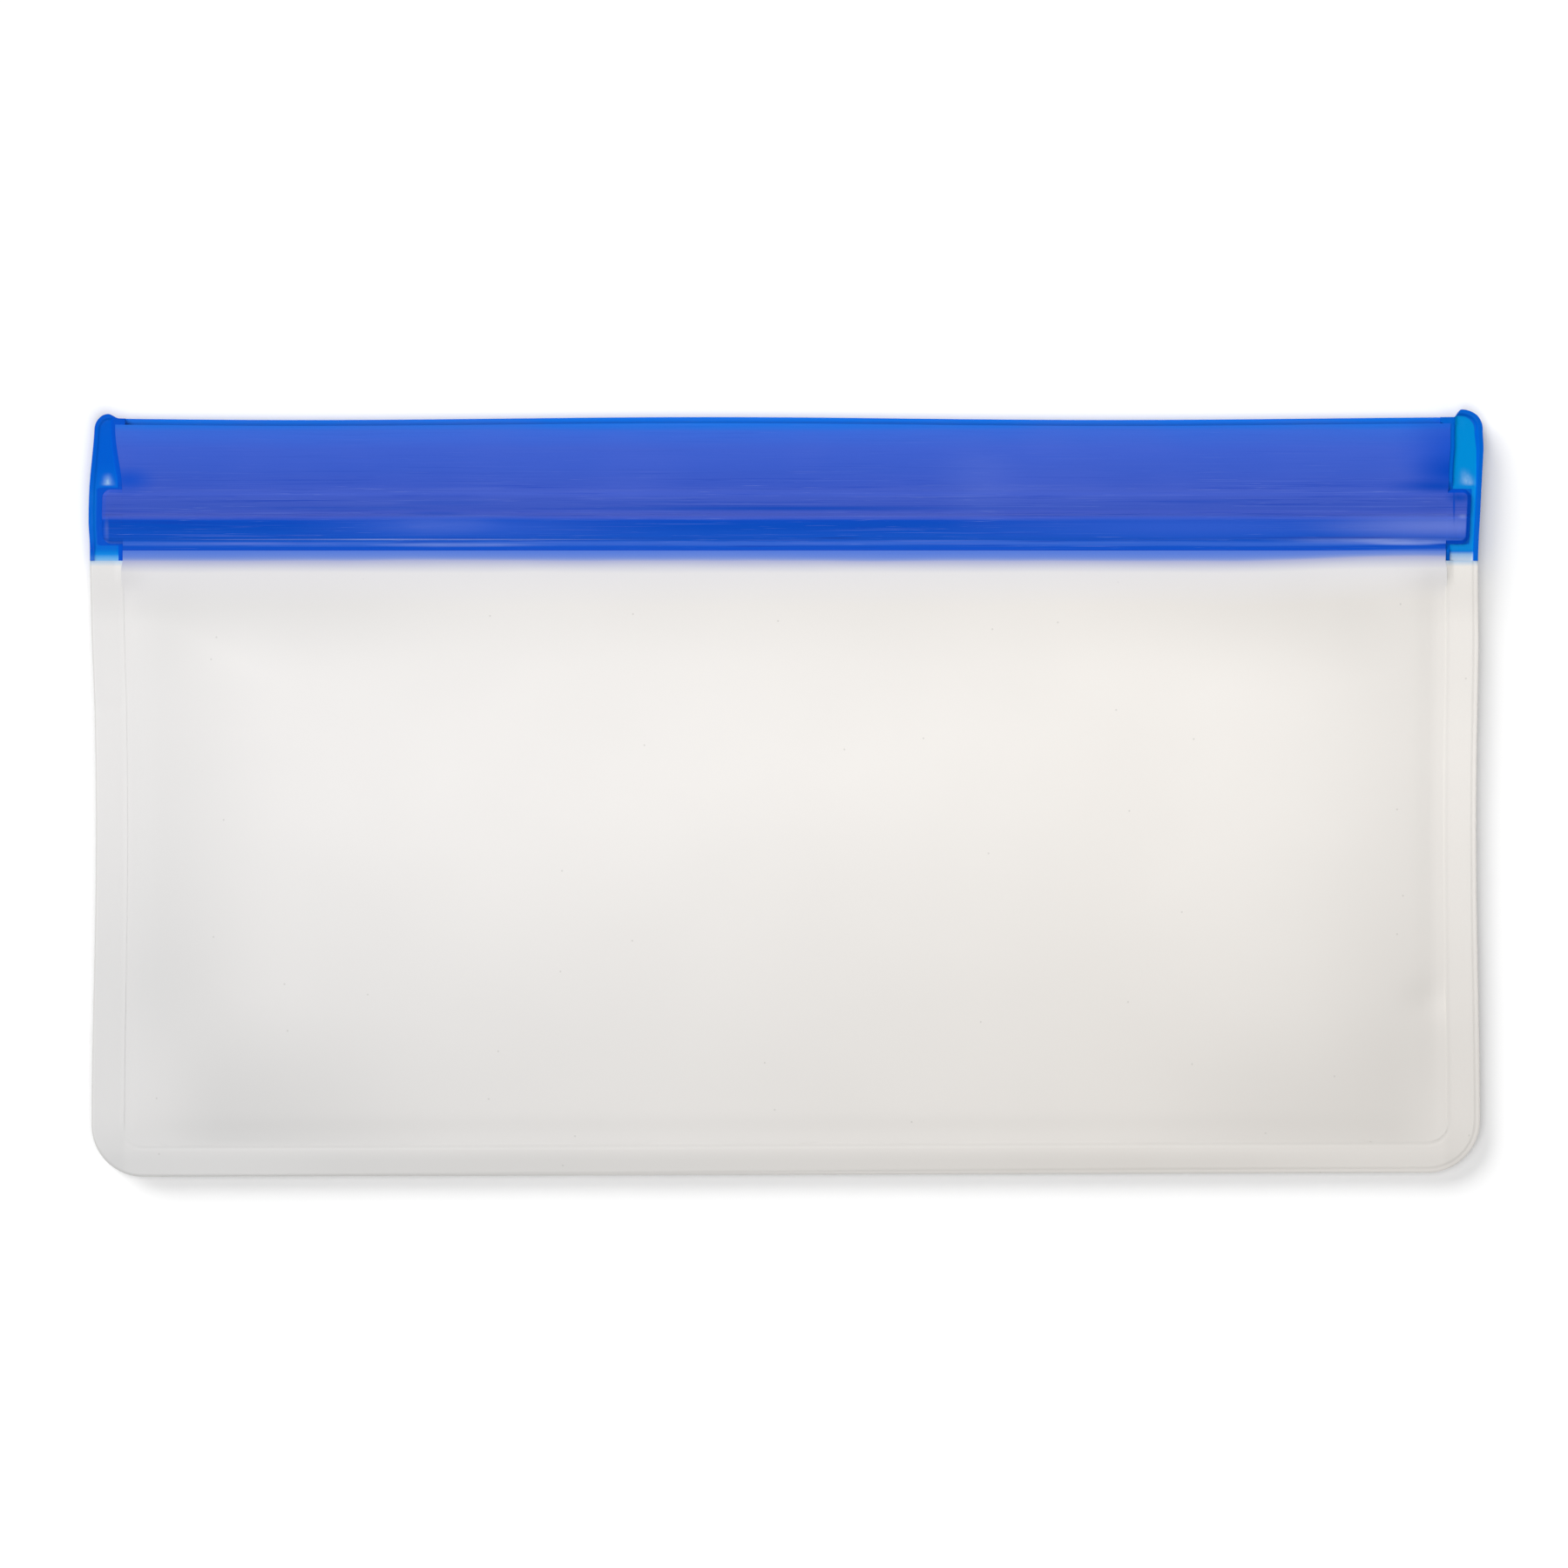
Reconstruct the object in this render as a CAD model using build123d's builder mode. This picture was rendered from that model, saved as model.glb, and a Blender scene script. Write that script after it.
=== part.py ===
"""Reusable zip-top storage bag: two frosted films welded round three sides, closed by a two-track press-to-close zip.

The bag lies flat on its rear film with its mouth towards +Y. All sizes are in millimetres. +Z points up, out of
the front film, and the origin is the centre of the bag's footprint on the surface that it lies on.
"""

import os

from build123d import *

# ------------------------------------------------------------------------------------------------ driving sizes
# The bag as a whole
bag_width = 220.0  # across both side welds
bag_height = 120.0  # bottom edge to the top edge of the rear lip
pouch_depth = 5.4  # room between the two films where the closed bag is fullest
film_thickness = 0.35

# The welded rim, where the two films are pressed into one
rim_width = 5.2
rim_thickness = 0.6
rim_corner_radius = 8.2

# The crown of each film: a flat middle with sloping flanks down to the rim
flank_width = 14.0
crown_corner_radius = 12.0

# The two zip tapes
band_height = 22.6  # bottom edge of the tape to the top edge of the rear lip
tape_thickness = 0.5
tape_gap = 2.0  # between the tapes, where the tracks lie
front_lip_drop = 1.0  # how far the front lip stops below the rear one
lap_width = 1.6  # film welded over the foot of the tape

# The two tracks: a barbed rib on the rear tape snaps into a hooked channel on the front tape
lower_track_height = 5.1  # bottom edge of the tape to the middle of the lower track
track_gap = 0.6  # between the two channels
channel_width = 3.2
channel_wall = 0.45
channel_roof = 0.2
hook_height = 0.35
hook_reach = 0.47  # how far each hook reaches in from the channel's wall
rib_stem_width = 0.6
rib_side_clearance = 0.2
rib_top_clearance = 0.1
barb_clearance = 0.15  # between the barb's underside and the hooks
channel_tip_clearance = 0.35  # between the hooks and the rear tape
barb_nose_share = 0.53  # width of the barb's nose over the width of its shoulders
channel_tip_radius = 0.15

# The fused ends of the band
end_weld_sink = 0.3  # how far the end welds stay below the front tape's outer face
left_ear_rise = 0.7  # how far each ear stands above the rear lip
right_ear_rise = 1.2
ear_radius = 3.4
ear_shoulder = 1.0  # how far the ear's inner side leans away from the lips
ear_shoulder_radius = 0.5
stop_length = 4.0  # the crushed track ends, from the weld's inner line outwards
stop_margin = 0.8  # how far the stop reaches past the channels, down and up
stop_radius = 1.3

# Running room between the front wall, which opens, and the rim that it opens from
joint_gap = 0.2
parting_gap = 0.1

# ------------------------------------------------------------------------------------------------ worked-out places
bottom_y = -(bag_height + max(left_ear_rise, right_ear_rise)) / 2
lip_y = bottom_y + bag_height
tape_foot_y = lip_y - band_height
weld_y = bottom_y + rim_width  # inner line of the bottom weld
weld_x = bag_width / 2 - rim_width  # inner line of the side welds
weld_corner_radius = rim_corner_radius - rim_width
lower_track_y = tape_foot_y + lower_track_height
upper_track_y = lower_track_y + channel_width + track_gap

parting_z = film_thickness + pouch_depth / 2
parting_plane = Plane.XY.offset(parting_z)
crown_rise = pouch_depth / 2 + film_thickness  # parting plane to the outside of a film's flat middle
tape_inner = tape_gap / 2  # parting plane to a tape's inner face
tape_outer = tape_inner + tape_thickness
lap_outer = tape_outer + film_thickness
end_weld_thickness = tape_inner + tape_outer - end_weld_sink  # from the rear tape's inner face

# The flank towards the mouth is cut off at the tape's foot, where it is as high as the lap.
flank_slope = (crown_rise - film_thickness) / flank_width
crown_top_y = tape_foot_y + (lap_outer - film_thickness) / flank_slope
crown_height = crown_top_y - weld_y
crown_centre_y = (crown_top_y + weld_y) / 2


def crown(edge_gap):
    """The lofted swelling of one film, from the weld line up to its flat middle."""
    with BuildPart() as swelling:
        with BuildSketch(parting_plane.offset(film_thickness)):
            with Locations((0, crown_centre_y)):
                RectangleRounded(2 * (weld_x - edge_gap), crown_height - 2 * edge_gap, weld_corner_radius)
        with BuildSketch(parting_plane.offset(crown_rise)):
            with Locations((0, crown_centre_y)):
                RectangleRounded(
                    2 * (weld_x - flank_width), crown_height - 2 * flank_width, crown_corner_radius
                )
        loft(ruled=True)
    return swelling


def film(edge_gap):
    """One film of constant thickness, above the parting plane: edge land, crown, header and lap over the tape."""
    swelling = crown(edge_gap)
    half_width = weld_x - edge_gap
    mouth_cut = Plane.XZ.offset(-tape_foot_y)
    with BuildPart() as hollow:
        add(swelling.part.moved(Location((0, 0, -film_thickness))))
        split(bisect_by=mouth_cut, keep=Keep.TOP)
    with BuildPart() as wall:
        add(swelling.part)
        with BuildSketch(parting_plane.offset(parting_gap / 2)):
            with Locations((0, crown_centre_y)):
                RectangleRounded(2 * half_width, crown_height - 2 * edge_gap, weld_corner_radius)
        extrude(amount=film_thickness - parting_gap / 2)
        split(bisect_by=mouth_cut, keep=Keep.TOP)
        # The header closes the two corners under the tape's ends, where the flanks run lower than the tape.
        with BuildSketch(parting_plane.offset(parting_gap / 2)):
            with Locations((0, tape_foot_y)):
                Rectangle(2 * half_width, film_thickness, align=(Align.CENTER, Align.MAX))
        extrude(amount=lap_outer - parting_gap / 2)
        add(hollow.part, mode=Mode.SUBTRACT)
        with BuildSketch(parting_plane.offset(tape_outer)):
            with Locations((0, tape_foot_y - film_thickness)):
                Rectangle(2 * half_width, lap_width + film_thickness, align=(Align.CENTER, Align.MIN))
        extrude(amount=film_thickness)
    return wall


def tape(top_y, half_length, corner_radius=0.0):
    """One flat zip tape above the parting plane, from its welded foot to the top edge of its lip."""
    with BuildPart() as strip:
        with BuildSketch(parting_plane.offset(tape_inner)) as outline:
            with Locations((0, tape_foot_y)):
                Rectangle(2 * half_length, top_y - tape_foot_y, align=(Align.CENTER, Align.MIN))
            if corner_radius:
                fillet(outline.vertices().group_by(Axis.Y)[-1], corner_radius)
        extrude(amount=tape_thickness)
    return strip


def channel(track_y):
    """The hooked channel of one track, hanging from the front tape's inner face."""
    length = 2 * (weld_x - joint_gap)
    depth = tape_gap - channel_tip_clearance
    cavity_width = channel_width - 2 * channel_wall
    cavity_depth = depth - channel_roof - hook_height
    with BuildPart() as profile:
        with BuildSketch(Plane.YZ.offset(-length / 2)) as section:
            with Locations((track_y, parting_z + tape_inner)):
                Rectangle(channel_width, depth, align=(Align.CENTER, Align.MAX))
            fillet(section.vertices().group_by(Axis.Z)[0], channel_tip_radius)
            with Locations((track_y, parting_z + tape_inner - channel_roof)):
                Rectangle(cavity_width, cavity_depth, align=(Align.CENTER, Align.MAX), mode=Mode.SUBTRACT)
                Rectangle(
                    cavity_width - 2 * hook_reach, depth, align=(Align.CENTER, Align.MAX), mode=Mode.SUBTRACT
                )
        extrude(amount=length)
    return profile


def rib(track_y):
    """The barbed rib of one track, standing on the rear tape's inner face."""
    length = 2 * weld_x
    shoulder = (channel_width / 2 - channel_wall) - rib_side_clearance
    nose = shoulder * barb_nose_share
    barb_foot = channel_tip_clearance + hook_height + barb_clearance
    barb_top = tape_gap - channel_roof - rib_top_clearance
    with BuildPart() as profile:
        with BuildSketch(Plane.YZ.offset(-length / 2)):
            with Locations((track_y, parting_z - tape_inner)):
                Rectangle(rib_stem_width, barb_foot, align=(Align.CENTER, Align.MIN))
                Polygon(
                    (-shoulder, barb_foot),
                    (shoulder, barb_foot),
                    (nose, barb_top),
                    (-nose, barb_top),
                    align=None,
                )
        extrude(amount=length)
    return profile


def stop_outline():
    """The rounded window in the right end weld that the crushed track ends fill."""
    low_y = lower_track_y - channel_width / 2 - stop_margin
    high_y = upper_track_y + channel_width / 2 + stop_margin
    with BuildSketch(parting_plane.offset(-tape_inner)) as outline:
        with Locations((weld_x, (low_y + high_y) / 2)):
            Rectangle(stop_length, high_y - low_y, align=(Align.MIN, Align.CENTER))
        fillet(outline.vertices().group_by(Axis.X)[-1], stop_radius)
    return outline


def track_stop():
    """The crushed ends of both tracks at the right, fused from tape to tape."""
    window = stop_outline()
    with BuildPart() as stop:
        extrude(window.sketch, amount=tape_inner + tape_outer)
    return stop


def end_weld(ear_rise):
    """The right end of the band, fused solid, with its ear squeezed out above the lips."""
    window = stop_outline()
    outer_x = bag_width / 2
    ear_y = lip_y + ear_rise
    with BuildPart() as slab:
        with BuildSketch(parting_plane.offset(-tape_inner)) as outline:
            with BuildLine():
                Polyline(
                    (weld_x, tape_foot_y),
                    (outer_x, tape_foot_y),
                    (outer_x, ear_y),
                    (weld_x + ear_shoulder, ear_y),
                    (weld_x, lip_y),
                    close=True,
                )
            make_face()
            fillet(outline.vertices().group_by(Axis.Y)[-1].sort_by(Axis.X)[-1], ear_radius)
            fillet(outline.vertices().group_by(Axis.Y)[-1].sort_by(Axis.X)[0], ear_shoulder_radius)
        extrude(amount=end_weld_thickness)
        extrude(window.sketch, amount=end_weld_thickness, mode=Mode.SUBTRACT)
    return slab


def side_weld():
    """The right side of the welded rim, above its rounded corner."""
    corner_y = bottom_y + rim_corner_radius
    with BuildPart() as weld:
        with BuildSketch(parting_plane.offset(-rim_thickness / 2)):
            with Locations((weld_x, corner_y)):
                Rectangle(rim_width, tape_foot_y - corner_y, align=(Align.MIN, Align.MIN))
        extrude(amount=rim_thickness)
    return weld


def base_weld():
    """The bottom of the welded rim with both rounded corners."""
    with BuildPart() as weld:
        with BuildSketch(parting_plane.offset(-rim_thickness / 2)) as outline:
            with Locations((0, bottom_y)):
                Rectangle(bag_width, 2 * rim_corner_radius, align=(Align.CENTER, Align.MIN))
            fillet(outline.vertices().group_by(Axis.Y)[0], rim_corner_radius)
            with Locations((0, weld_y)):
                RectangleRounded(
                    2 * weld_x,
                    bag_height,
                    weld_corner_radius,
                    align=(Align.CENTER, Align.MIN),
                    mode=Mode.SUBTRACT,
                )
            with Locations((0, bottom_y + rim_corner_radius)):
                Rectangle(bag_width, bag_height, align=(Align.CENTER, Align.MIN), mode=Mode.SUBTRACT)
        extrude(amount=rim_thickness)
    return weld


def mirrored(piece, plane):
    """The same piece on the other side of a plane."""
    with BuildPart() as twin:
        mirror(piece.part, about=plane)
    return twin


# ------------------------------------------------------------------------------------------------ the pieces
pieces = {
    # The wall that lies on the table, with everything that is welded to it
    "rear_film": mirrored(film(0), parting_plane),
    "left_side_weld": mirrored(side_weld(), Plane.YZ),
    "right_side_weld": side_weld(),
    "bottom_weld": base_weld(),
    "rear_zip_tape": mirrored(tape(lip_y, bag_width / 2, ear_radius), parting_plane),
    "rear_upper_rib": rib(upper_track_y),
    "rear_lower_rib": rib(lower_track_y),
    "left_end_weld": mirrored(end_weld(left_ear_rise), Plane.YZ),
    "right_end_weld": end_weld(right_ear_rise),
    "left_track_stop": mirrored(track_stop(), Plane.YZ),
    "right_track_stop": track_stop(),
    # The wall that opens
    "front_film": film(joint_gap),
    "front_zip_tape": tape(lip_y - front_lip_drop, weld_x - joint_gap),
    "front_upper_channel": channel(upper_track_y),
    "front_lower_channel": channel(lower_track_y),
}

os.makedirs("parts", exist_ok=True)
for name, piece in pieces.items():
    piece.part.label = name
    export_step(piece.part, f"parts/{name}.step")
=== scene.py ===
"""Looks of the frosted zip-top bag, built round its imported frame.

The bag lies flat with its mouth towards +Y. Its front film, front tape and channels lift out of the rest
when the mouth opens, most in the middle of the mouth and not at all at the two side welds.
"""

import math

import bmesh
import bpy
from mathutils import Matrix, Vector, noise
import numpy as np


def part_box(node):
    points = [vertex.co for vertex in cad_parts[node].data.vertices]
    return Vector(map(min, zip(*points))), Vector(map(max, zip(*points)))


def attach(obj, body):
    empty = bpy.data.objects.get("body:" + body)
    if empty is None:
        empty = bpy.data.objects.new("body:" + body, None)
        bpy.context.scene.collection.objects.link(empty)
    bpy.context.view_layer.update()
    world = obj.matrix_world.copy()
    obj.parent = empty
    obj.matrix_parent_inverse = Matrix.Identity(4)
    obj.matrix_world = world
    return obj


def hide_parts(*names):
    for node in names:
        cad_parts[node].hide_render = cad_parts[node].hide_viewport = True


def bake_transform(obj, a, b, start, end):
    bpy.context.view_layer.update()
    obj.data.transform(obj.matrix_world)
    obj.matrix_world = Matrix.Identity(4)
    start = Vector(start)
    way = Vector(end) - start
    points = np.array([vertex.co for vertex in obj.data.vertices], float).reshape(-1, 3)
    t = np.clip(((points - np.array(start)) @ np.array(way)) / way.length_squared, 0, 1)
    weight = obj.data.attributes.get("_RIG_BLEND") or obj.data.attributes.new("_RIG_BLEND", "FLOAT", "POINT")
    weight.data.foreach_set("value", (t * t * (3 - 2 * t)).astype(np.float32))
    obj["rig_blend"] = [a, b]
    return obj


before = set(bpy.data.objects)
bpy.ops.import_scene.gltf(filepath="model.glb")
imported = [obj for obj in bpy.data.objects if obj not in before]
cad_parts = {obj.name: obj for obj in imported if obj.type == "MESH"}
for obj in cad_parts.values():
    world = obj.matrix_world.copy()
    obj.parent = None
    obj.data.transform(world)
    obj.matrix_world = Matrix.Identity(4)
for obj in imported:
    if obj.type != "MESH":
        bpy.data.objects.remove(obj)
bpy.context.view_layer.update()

scene = bpy.context.scene
MM = 0.001

# ------------------------------------------------------------ places, from the frame
side_low, side_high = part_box("right_side_weld")
base_low, base_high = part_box("bottom_weld")
tape_low, tape_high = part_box("rear_zip_tape")
front_tape_low, front_tape_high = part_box("front_zip_tape")
film_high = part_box("front_film")[1]
stop_low, stop_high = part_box("right_track_stop")
upper_low, upper_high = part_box("front_upper_channel")
lower_low, lower_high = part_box("front_lower_channel")

half_width = side_high.x
weld_x = side_low.x
rim_width = half_width - weld_x
bottom_y = base_low.y
weld_y = bottom_y + rim_width
outer_radius = base_high.y - base_low.y
inner_radius = outer_radius - rim_width
foot_y = tape_low.y
lap_y = film_high.y
rear_lip_y = tape_high.y
front_lip_y = front_tape_high.y
parting_z = (side_low.z + side_high.z) / 2
rim_half = side_high.z - parting_z
tape_inner = front_tape_low.z - parting_z
tape_outer = front_tape_high.z - parting_z
crown = film_high.z - parting_z
film_wall = 0.35 * MM
lap_outer = tape_outer + film_wall
stop_reach = stop_high.x - stop_low.x


# ------------------------------------------------------------ shape helpers
def smooth(value, low, high):
    """0 below low, 1 above high and an even turn between."""
    t = min(1.0, max(0.0, (value - low) / (high - low)))
    return t * t * (3 - 2 * t)


def mix(a, b, t):
    return a + (b - a) * t


def rise(distance, reach, fullness):
    """How far film has swollen at a distance from its weld: level at first, then a climb to its reach."""
    t = min(1.0, max(0.0, distance / reach))
    return (1 - (1 - t) ** fullness) * smooth(distance, -1 * MM, 4.5 * MM)


def soft_noise(x, y, wave, seed):
    return noise.noise(Vector((x / wave, y / wave, seed)))


bow_centre, bow_wave = 42 * MM, 96 * MM


def bow(x, y):
    """How far the bag's sides bow outwards: the left end narrows at its top, and the right one flares."""
    wave = math.cos(2 * math.pi * (y - bow_centre) / bow_wave)
    if x < 0:
        out = 0.35 * wave - 0.5 * smooth(y, 44 * MM, 60 * MM)
        out -= 0.2 * (1 - smooth(y, 39 * MM, 43 * MM)) + 0.2 * (1 - smooth(y, 12 * MM, 28 * MM))
    else:
        flare = mix(-0.1, 0.5, smooth(y, 35 * MM, 51 * MM)) - 0.25 * smooth(y, 54 * MM, 57.5 * MM)
        out = mix(0.3 * wave, flare, smooth(y, 20 * MM, 36 * MM))
    return out * MM * (abs(x) / half_width) ** 6


def unbowed(x, y):
    """Distance from the middle of the bag that a settled point had before the sides bowed."""
    return abs(x) - bow(x, y)


lip_wander, lip_wave = 0.22 * MM, 128 * MM
foot_tilt = 0.35 * MM


def settle(point):
    """The give of a soft bag: its sides bow in and out a little, its lips wander and its foot tilts."""
    x, y, z = point
    lip = smooth(y, upper_high.y, rear_lip_y)
    wander = lip_wander * math.cos(2 * math.pi * (x + 12 * MM) / lip_wave) * lip
    low = (rear_lip_y - y) / (rear_lip_y - bottom_y)
    tilt = foot_tilt * (x / half_width) * smooth(low, 0.3, 1.0)
    return Vector((x + math.copysign(1.0, x) * bow(x, y), y + wander + tilt, z))


def corner_round(dx, dy):
    """Moves a point of the unit square's quarter onto the quarter disc."""
    length = math.hypot(dx, dy)
    if length == 0:
        return dx, dy
    share = max(abs(dx), abs(dy)) / length
    return dx * share, dy * share


def grid(columns, rows, place):
    """A grid of faces, its points put in place from 0 to 1 both ways; each keeps its second share."""
    bm = bmesh.new()
    bmesh.ops.create_grid(bm, x_segments=columns, y_segments=rows, size=1.0)
    share = bm.verts.layers.float.new("share")
    for vert in bm.verts:
        vert[share] = (vert.co.y + 1) / 2
        vert.co = place((vert.co.x + 1) / 2, (vert.co.y + 1) / 2)
    return bm


def close_below(bm, floor):
    """Turns a top surface into a closed body whose underside is at the height that floor gives."""
    made = bmesh.ops.extrude_face_region(bm, geom=bm.faces[:])
    for item in made["geom"]:
        if isinstance(item, bmesh.types.BMVert):
            item.co.z = floor(item.co)
    bmesh.ops.recalc_face_normals(bm, faces=bm.faces[:])


def graded(made, name, grade):
    """Stores a value at each point of a piece, worked out from its place, for the finish to read."""
    layer = made.data.attributes.new(name, "FLOAT", "POINT").data
    for point, vert in zip(layer, made.data.vertices):
        point.value = grade(vert.co.x, vert.co.y)


sharp_from = math.radians(40)


def piece(name, bm, finish, slot, *nodes):
    """Makes the object of a finished mesh, keeping its sharp edges, and says which nodes it replaces."""
    mesh = bpy.data.meshes.new(name)
    for face in bm.faces:
        face.smooth = True
    for edge in bm.edges:
        edge.smooth = edge.is_manifold and edge.calc_face_angle() < sharp_from
    bm.to_mesh(mesh)
    bm.free()
    mesh.materials.append(finish)
    made = bpy.data.objects.new(name, mesh)
    scene.collection.objects.link(made)
    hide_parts(*nodes)
    return made


def wall(made, thickness):
    """Gives a sheet its thickness, on the side away from its normals."""
    skin = made.modifiers.new("wall", "SOLIDIFY")
    skin.thickness = thickness
    skin.offset = -1.0


lens_power = 2.4  # a higher power makes the open mouth blunter at its ends


def opens(made):
    """The piece lifts with the front wall in the middle of the mouth and stays put at the side welds."""
    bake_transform(made, "rear_wall", "front_wall", start=(weld_x, 0, parting_z), end=(0, 0, parting_z))
    lift = made.data.attributes["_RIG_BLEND"].data
    for vert, weight in zip(made.data.vertices, lift):
        weight.value = 1 - min(1.0, abs(vert.co.x) / weld_x) ** lens_power
    return made


# ------------------------------------------------------------ finishes
lamp_gain = 1.15  # how much brighter than its own colour a level surface looks under the lamps


def tint(red, green, blue):
    """The shader's colour for a surface that should look like these 0 to 255 values under the lamps."""
    def one(value):
        value /= 255
        straight = value / 12.92 if value <= 0.04045 else ((value + 0.055) / 1.055) ** 2.4
        return straight / lamp_gain

    return (one(red), one(green), one(blue), 1.0)


white = (1.0, 1.0, 1.0, 1.0)


def add(tree, kind, inputs=None, **settings):
    made = tree.nodes.new(kind)
    for key, value in settings.items():
        setattr(made, key, value)
    for key, value in (inputs or {}).items():
        if isinstance(value, bpy.types.NodeSocket):
            tree.links.new(value, made.inputs[key])
        else:
            made.inputs[key].default_value = value
    return made


def finish_of(name, roughness, specular, alpha=1.0):
    """A new material, its tree, its shader and its position in millimetres."""
    made = bpy.data.materials.new(name)
    made.use_nodes = True
    tree = made.node_tree
    shader = tree.nodes["Principled BSDF"]
    shader.inputs["Roughness"].default_value = roughness
    shader.inputs["Specular IOR Level"].default_value = specular
    shader.inputs["Alpha"].default_value = alpha
    place = add(tree, "ShaderNodeTexCoord").outputs["Object"]
    in_mm = add(tree, "ShaderNodeMapping", {"Vector": place, "Scale": (1000, 1000, 1000)}).outputs[0]
    return made, tree, shader, in_mm


def cloud(tree, place, stretch, detail=2.0, roughness=0.5):
    """Noise of about one wave per stretch, in millimetres, along each axis."""
    scaled = add(
        tree, "ShaderNodeMapping", {"Vector": place, "Scale": tuple(1 / s for s in stretch)}
    ).outputs[0]
    return add(
        tree,
        "ShaderNodeTexNoise",
        {"Vector": scaled, "Scale": 1.0, "Detail": detail, "Roughness": roughness},
    ).outputs["Fac"]


def ranged(tree, value, low, high, new_low, new_high):
    return add(
        tree,
        "ShaderNodeMapRange",
        {"Value": value, "From Min": low, "From Max": high, "To Min": new_low, "To Max": new_high},
    ).outputs["Result"]


def math_of(tree, operation, a, b):
    return add(tree, "ShaderNodeMath", {0: a, 1: b}, operation=operation).outputs[0]


def ramp(tree, value, stops):
    """A colour for each height of value; stops are (height, colour)."""
    low, high = stops[0][0], stops[-1][0]
    share = ranged(tree, value, low, high, 0.0, 1.0)
    made = add(tree, "ShaderNodeValToRGB", {"Fac": share})
    elements = made.color_ramp.elements
    for height, colour in stops[1:-1]:
        elements.new((height - low) / (high - low)).color = colour
    elements[0].color = stops[0][1]
    elements[len(elements) - 1].color = stops[-1][1]
    return made.outputs["Color"]


def blended(tree, factor, a, b, how="MIX"):
    made = add(tree, "ShaderNodeMix", data_type="RGBA", blend_type=how)
    for socket, value in zip((made.inputs[0], made.inputs[6], made.inputs[7]), (factor, a, b)):
        if isinstance(value, bpy.types.NodeSocket):
            tree.links.new(value, socket)
        else:
            socket.default_value = value
    return made.outputs[2]


def bumped(tree, shader, height, distance, strength=1.0):
    made = add(
        tree, "ShaderNodeBump", {"Height": height, "Distance": distance, "Strength": strength}
    ).outputs[0]
    tree.links.new(made, shader.inputs["Normal"])


def stored(tree, name):
    """A value that graded() has stored on the piece."""
    return add(tree, "ShaderNodeAttribute", attribute_name=name).outputs["Fac"]


def mark(tree, ground, place, centre, reach, colour, strength):
    """Paints one soft oval mark or drawn line at a place, in millimetres, on a ground colour."""
    scale = (1 / reach[0], 1 / reach[1], 0.0)
    shift = (-centre[0] / reach[0], -centre[1] / reach[1], 0.0)
    local = add(tree, "ShaderNodeMapping", {"Vector": place, "Location": shift, "Scale": scale}).outputs[0]
    far = add(tree, "ShaderNodeVectorMath", {0: local}, operation="LENGTH").outputs["Value"]
    near = add(
        tree,
        "ShaderNodeMapRange",
        {"Value": far, "From Min": 0.0, "From Max": 1.0, "To Min": strength, "To Max": 0.0},
        interpolation_type="SMOOTHSTEP",
    ).outputs["Result"]
    return blended(tree, near, ground, colour)


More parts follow.
